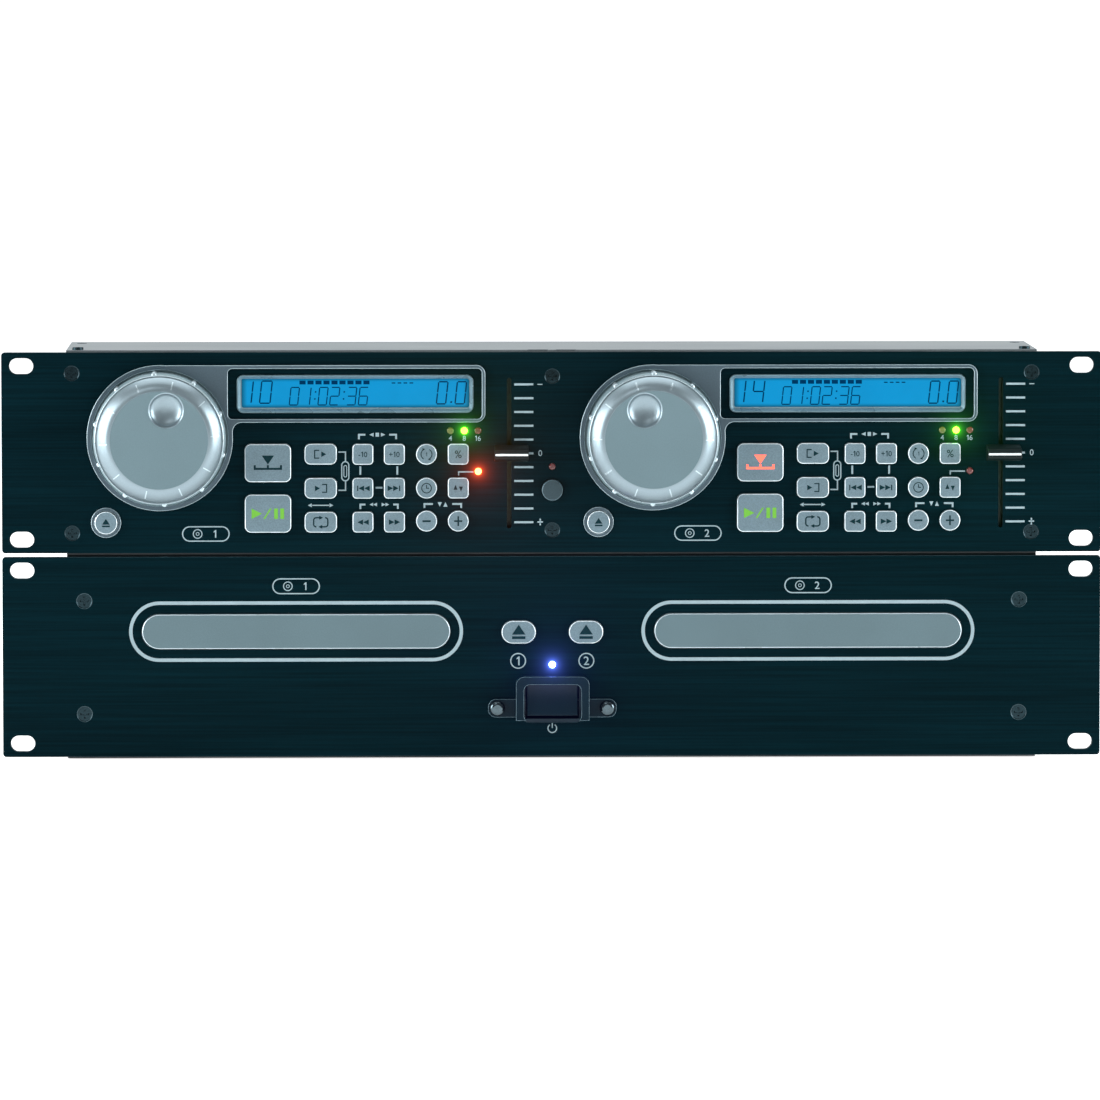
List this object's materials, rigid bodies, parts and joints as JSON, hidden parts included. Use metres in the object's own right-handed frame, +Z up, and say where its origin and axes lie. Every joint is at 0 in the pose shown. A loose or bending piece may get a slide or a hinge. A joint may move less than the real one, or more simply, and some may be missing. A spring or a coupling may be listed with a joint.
{
  "type": "dual disc player with dual deck controller",
  "caption": "Rack-mount disc player with drawer-style trays under a matching deck controller with jog wheels, displays, keys and pitch faders.",
  "frame": {"origin": "middle of the player's flat bottom face, on the surface that it stands on", "axes": "+X to the right seen from the front, along the panels' width; +Y to the back; +Z up"},
  "size_m": [0.4826, 0.28, 0.1812],
  "materials": {
    "panel": "black brushed and anodised, fine horizontal lines",
    "case": "satin black coated steel",
    "cover": "satin black coated steel, fine texture",
    "bezel": "slate grey satin moulding with worn bright edges",
    "jog": "soft silver-grey paint on moulded plastic",
    "key": "silver-grey paint, satin",
    "relay": "slate grey satin",
    "fader": "black moulded plastic",
    "screen": "black display frame and lit blue glass",
    "tray_face": "silver-grey satin",
    "board": "green circuit board",
    "lamp": "small lamps",
    "screw": "black zinc",
    "guard": "black coated metal hoop",
    "rocker": "black moulded plastic",
    "mechanism": "moulded mechanism parts",
    "steel": "turned and pressed steel",
    "socket": "moulded sockets"
  },
  "bodies": {
    "housing": {"control_board": "board", "controller_chassis": "case", "controller_front_panel": "panel", "controller_top_cover": "cover", "deck_bezels": "bezel", "disc_transports": "mechanism", "display_modules": "screen", "indicator_lamps": "lamp", "panel_screws": "screw", "player_boards": "board", "player_chassis": "case", "player_front_panel": "panel", "player_top_cover": "cover", "rear_sockets": "socket", "switch_guard": "guard", "switch_housing": "socket"},
    "tray_1": {"tray_1": "tray_face"},
    "tray_2": {"tray_2": "tray_face"},
    "deck1_jog_wheel": {"deck1_jog_wheel": "jog"},
    "deck1_pitch_fader": {"deck1_pitch_fader": "fader"},
    "deck2_jog_wheel": {"deck2_jog_wheel": "jog"},
    "deck2_pitch_fader": {"deck2_pitch_fader": "fader"},
    "power_rocker": {"power_rocker": "rocker"},
    "turntable_1": {"turntable_1": "mechanism"},
    "pickup_1": {"pickup_1": "steel"},
    "turntable_2": {"turntable_2": "mechanism"},
    "pickup_2": {"pickup_2": "steel"},
    "open_key_1": {"open_key_1": "key"},
    "open_key_2": {"open_key_2": "key"},
    "relay_key": {"relay_key": "relay"},
    "deck1_cue_key": {"deck1_cue_key": "key"},
    "deck1_play_key": {"deck1_play_key": "key"},
    "deck1_loop_in_key": {"deck1_loop_in_key": "key"},
    "deck1_loop_out_key": {"deck1_loop_out_key": "key"},
    "deck1_reloop_key": {"deck1_reloop_key": "key"},
    "deck1_track_keys": {"deck1_track_keys": "key"},
    "deck1_skip_keys": {"deck1_skip_keys": "key"},
    "deck1_search_keys": {"deck1_search_keys": "key"},
    "deck1_percent_key": {"deck1_percent_key": "key"},
    "deck1_pitch_key": {"deck1_pitch_key": "key"},
    "deck1_single_key": {"deck1_single_key": "key"},
    "deck1_time_key": {"deck1_time_key": "key"},
    "deck1_bend_down_key": {"deck1_bend_down_key": "key"},
    "deck1_bend_up_key": {"deck1_bend_up_key": "key"},
    "deck1_eject_key": {"deck1_eject_key": "key"},
    "deck2_cue_key": {"deck2_cue_key": "key"},
    "deck2_play_key": {"deck2_play_key": "key"},
    "deck2_loop_in_key": {"deck2_loop_in_key": "key"},
    "deck2_loop_out_key": {"deck2_loop_out_key": "key"},
    "deck2_reloop_key": {"deck2_reloop_key": "key"},
    "deck2_track_keys": {"deck2_track_keys": "key"},
    "deck2_skip_keys": {"deck2_skip_keys": "key"},
    "deck2_search_keys": {"deck2_search_keys": "key"},
    "deck2_percent_key": {"deck2_percent_key": "key"},
    "deck2_pitch_key": {"deck2_pitch_key": "key"},
    "deck2_single_key": {"deck2_single_key": "key"},
    "deck2_time_key": {"deck2_time_key": "key"},
    "deck2_bend_down_key": {"deck2_bend_down_key": "key"},
    "deck2_bend_up_key": {"deck2_bend_up_key": "key"},
    "deck2_eject_key": {"deck2_eject_key": "key"}
  },
  "joints": [
    {"name": "tray_1_slide", "type": "slide", "parent": "housing", "child": "tray_1", "axis": [0, -1, 0], "range_m": [0, 0.14]},
    {"name": "tray_2_slide", "type": "slide", "parent": "housing", "child": "tray_2", "axis": [0, -1, 0], "range_m": [0, 0.14]},
    {"name": "deck1_jog_turn", "type": "hinge", "parent": "housing", "child": "deck1_jog_wheel", "pos_m": [-0.172, -0.128, 0.14125], "axis": [0, -1, 0], "continuous": true},
    {"name": "deck1_pitch_slide", "type": "slide", "parent": "housing", "child": "deck1_pitch_fader", "axis": [0, 0, 1], "range_m": [-0.03, 0.03]},
    {"name": "deck2_jog_turn", "type": "hinge", "parent": "housing", "child": "deck2_jog_wheel", "pos_m": [0.044, -0.128, 0.14125], "axis": [0, -1, 0], "continuous": true},
    {"name": "deck2_pitch_slide", "type": "slide", "parent": "housing", "child": "deck2_pitch_fader", "axis": [0, 0, 1], "range_m": [-0.03, 0.03]},
    {"name": "power_rock", "type": "hinge", "parent": "housing", "child": "power_rocker", "pos_m": [0, -0.1242, 0.0253], "axis": [1, 0, 0], "range_deg": [0, 16]},
    {"name": "turntable_1_spin", "type": "hinge", "parent": "housing", "child": "turntable_1", "pos_m": [-0.1125, -0.0612, 0.045], "axis": [0, 0, 1], "continuous": true},
    {"name": "pickup_1_slide", "type": "slide", "parent": "housing", "child": "pickup_1", "axis": [0, 1, 0], "range_m": [0, 0.034]},
    {"name": "turntable_2_spin", "type": "hinge", "parent": "housing", "child": "turntable_2", "pos_m": [0.1125, -0.0612, 0.045], "axis": [0, 0, 1], "continuous": true},
    {"name": "pickup_2_slide", "type": "slide", "parent": "housing", "child": "pickup_2", "axis": [0, 1, 0], "range_m": [0, 0.034]},
    {"name": "open_1_press", "type": "slide", "parent": "housing", "child": "open_key_1", "axis": [0, 1, 0], "range_m": [0, 0.001], "stiffness_N_per_m": 300, "springref_m": -0.0012},
    {"name": "open_2_press", "type": "slide", "parent": "housing", "child": "open_key_2", "axis": [0, 1, 0], "range_m": [0, 0.001], "stiffness_N_per_m": 300, "springref_m": -0.0012},
    {"name": "relay_press", "type": "slide", "parent": "housing", "child": "relay_key", "axis": [0, 1, 0], "range_m": [0, 0.001], "stiffness_N_per_m": 300, "springref_m": -0.0012},
    {"name": "deck1_cue_press", "type": "slide", "parent": "housing", "child": "deck1_cue_key", "axis": [0, 1, 0], "range_m": [0, 0.001], "stiffness_N_per_m": 300, "springref_m": -0.0012},
    {"name": "deck1_play_press", "type": "slide", "parent": "housing", "child": "deck1_play_key", "axis": [0, 1, 0], "range_m": [0, 0.001], "stiffness_N_per_m": 300, "springref_m": -0.0012},
    {"name": "deck1_loop_in_press", "type": "slide", "parent": "housing", "child": "deck1_loop_in_key", "axis": [0, 1, 0], "range_m": [0, 0.001], "stiffness_N_per_m": 300, "springref_m": -0.0012},
    {"name": "deck1_loop_out_press", "type": "slide", "parent": "housing", "child": "deck1_loop_out_key", "axis": [0, 1, 0], "range_m": [0, 0.001], "stiffness_N_per_m": 300, "springref_m": -0.0012},
    {"name": "deck1_reloop_press", "type": "slide", "parent": "housing", "child": "deck1_reloop_key", "axis": [0, 1, 0], "range_m": [0, 0.001], "stiffness_N_per_m": 300, "springref_m": -0.0012},
    {"name": "deck1_track_press", "type": "slide", "parent": "housing", "child": "deck1_track_keys", "axis": [0, 1, 0], "range_m": [0, 0.001], "stiffness_N_per_m": 300, "springref_m": -0.0012},
    {"name": "deck1_skip_press", "type": "slide", "parent": "housing", "child": "deck1_skip_keys", "axis": [0, 1, 0], "range_m": [0, 0.001], "stiffness_N_per_m": 300, "springref_m": -0.0012},
    {"name": "deck1_search_press", "type": "slide", "parent": "housing", "child": "deck1_search_keys", "axis": [0, 1, 0], "range_m": [0, 0.001], "stiffness_N_per_m": 300, "springref_m": -0.0012},
    {"name": "deck1_percent_press", "type": "slide", "parent": "housing", "child": "deck1_percent_key", "axis": [0, 1, 0], "range_m": [0, 0.001], "stiffness_N_per_m": 300, "springref_m": -0.0012},
    {"name": "deck1_pitch_press", "type": "slide", "parent": "housing", "child": "deck1_pitch_key", "axis": [0, 1, 0], "range_m": [0, 0.001], "stiffness_N_per_m": 300, "springref_m": -0.0012},
    {"name": "deck1_single_press", "type": "slide", "parent": "housing", "child": "deck1_single_key", "axis": [0, 1, 0], "range_m": [0, 0.001], "stiffness_N_per_m": 300, "springref_m": -0.0012},
    {"name": "deck1_time_press", "type": "slide", "parent": "housing", "child": "deck1_time_key", "axis": [0, 1, 0], "range_m": [0, 0.001], "stiffness_N_per_m": 300, "springref_m": -0.0012},
    {"name": "deck1_bend_down_press", "type": "slide", "parent": "housing", "child": "deck1_bend_down_key", "axis": [0, 1, 0], "range_m": [0, 0.001], "stiffness_N_per_m": 300, "springref_m": -0.0012},
    {"name": "deck1_bend_up_press", "type": "slide", "parent": "housing", "child": "deck1_bend_up_key", "axis": [0, 1, 0], "range_m": [0, 0.001], "stiffness_N_per_m": 300, "springref_m": -0.0012},
    {"name": "deck1_eject_press", "type": "slide", "parent": "housing", "child": "deck1_eject_key", "axis": [0, 1, 0], "range_m": [0, 0.001], "stiffness_N_per_m": 300, "springref_m": -0.0012},
    {"name": "deck2_cue_press", "type": "slide", "parent": "housing", "child": "deck2_cue_key", "axis": [0, 1, 0], "range_m": [0, 0.001], "stiffness_N_per_m": 300, "springref_m": -0.0012},
    {"name": "deck2_play_press", "type": "slide", "parent": "housing", "child": "deck2_play_key", "axis": [0, 1, 0], "range_m": [0, 0.001], "stiffness_N_per_m": 300, "springref_m": -0.0012},
    {"name": "deck2_loop_in_press", "type": "slide", "parent": "housing", "child": "deck2_loop_in_key", "axis": [0, 1, 0], "range_m": [0, 0.001], "stiffness_N_per_m": 300, "springref_m": -0.0012},
    {"name": "deck2_loop_out_press", "type": "slide", "parent": "housing", "child": "deck2_loop_out_key", "axis": [0, 1, 0], "range_m": [0, 0.001], "stiffness_N_per_m": 300, "springref_m": -0.0012},
    {"name": "deck2_reloop_press", "type": "slide", "parent": "housing", "child": "deck2_reloop_key", "axis": [0, 1, 0], "range_m": [0, 0.001], "stiffness_N_per_m": 300, "springref_m": -0.0012},
    {"name": "deck2_track_press", "type": "slide", "parent": "housing", "child": "deck2_track_keys", "axis": [0, 1, 0], "range_m": [0, 0.001], "stiffness_N_per_m": 300, "springref_m": -0.0012},
    {"name": "deck2_skip_press", "type": "slide", "parent": "housing", "child": "deck2_skip_keys", "axis": [0, 1, 0], "range_m": [0, 0.001], "stiffness_N_per_m": 300, "springref_m": -0.0012},
    {"name": "deck2_search_press", "type": "slide", "parent": "housing", "child": "deck2_search_keys", "axis": [0, 1, 0], "range_m": [0, 0.001], "stiffness_N_per_m": 300, "springref_m": -0.0012},
    {"name": "deck2_percent_press", "type": "slide", "parent": "housing", "child": "deck2_percent_key", "axis": [0, 1, 0], "range_m": [0, 0.001], "stiffness_N_per_m": 300, "springref_m": -0.0012},
    {"name": "deck2_pitch_press", "type": "slide", "parent": "housing", "child": "deck2_pitch_key", "axis": [0, 1, 0], "range_m": [0, 0.001], "stiffness_N_per_m": 300, "springref_m": -0.0012},
    {"name": "deck2_single_press", "type": "slide", "parent": "housing", "child": "deck2_single_key", "axis": [0, 1, 0], "range_m": [0, 0.001], "stiffness_N_per_m": 300, "springref_m": -0.0012},
    {"name": "deck2_time_press", "type": "slide", "parent": "housing", "child": "deck2_time_key", "axis": [0, 1, 0], "range_m": [0, 0.001], "stiffness_N_per_m": 300, "springref_m": -0.0012},
    {"name": "deck2_bend_down_press", "type": "slide", "parent": "housing", "child": "deck2_bend_down_key", "axis": [0, 1, 0], "range_m": [0, 0.001], "stiffness_N_per_m": 300, "springref_m": -0.0012},
    {"name": "deck2_bend_up_press", "type": "slide", "parent": "housing", "child": "deck2_bend_up_key", "axis": [0, 1, 0], "range_m": [0, 0.001], "stiffness_N_per_m": 300, "springref_m": -0.0012},
    {"name": "deck2_eject_press", "type": "slide", "parent": "housing", "child": "deck2_eject_key", "axis": [0, 1, 0], "range_m": [0, 0.001], "stiffness_N_per_m": 300, "springref_m": -0.0012}
  ]
}
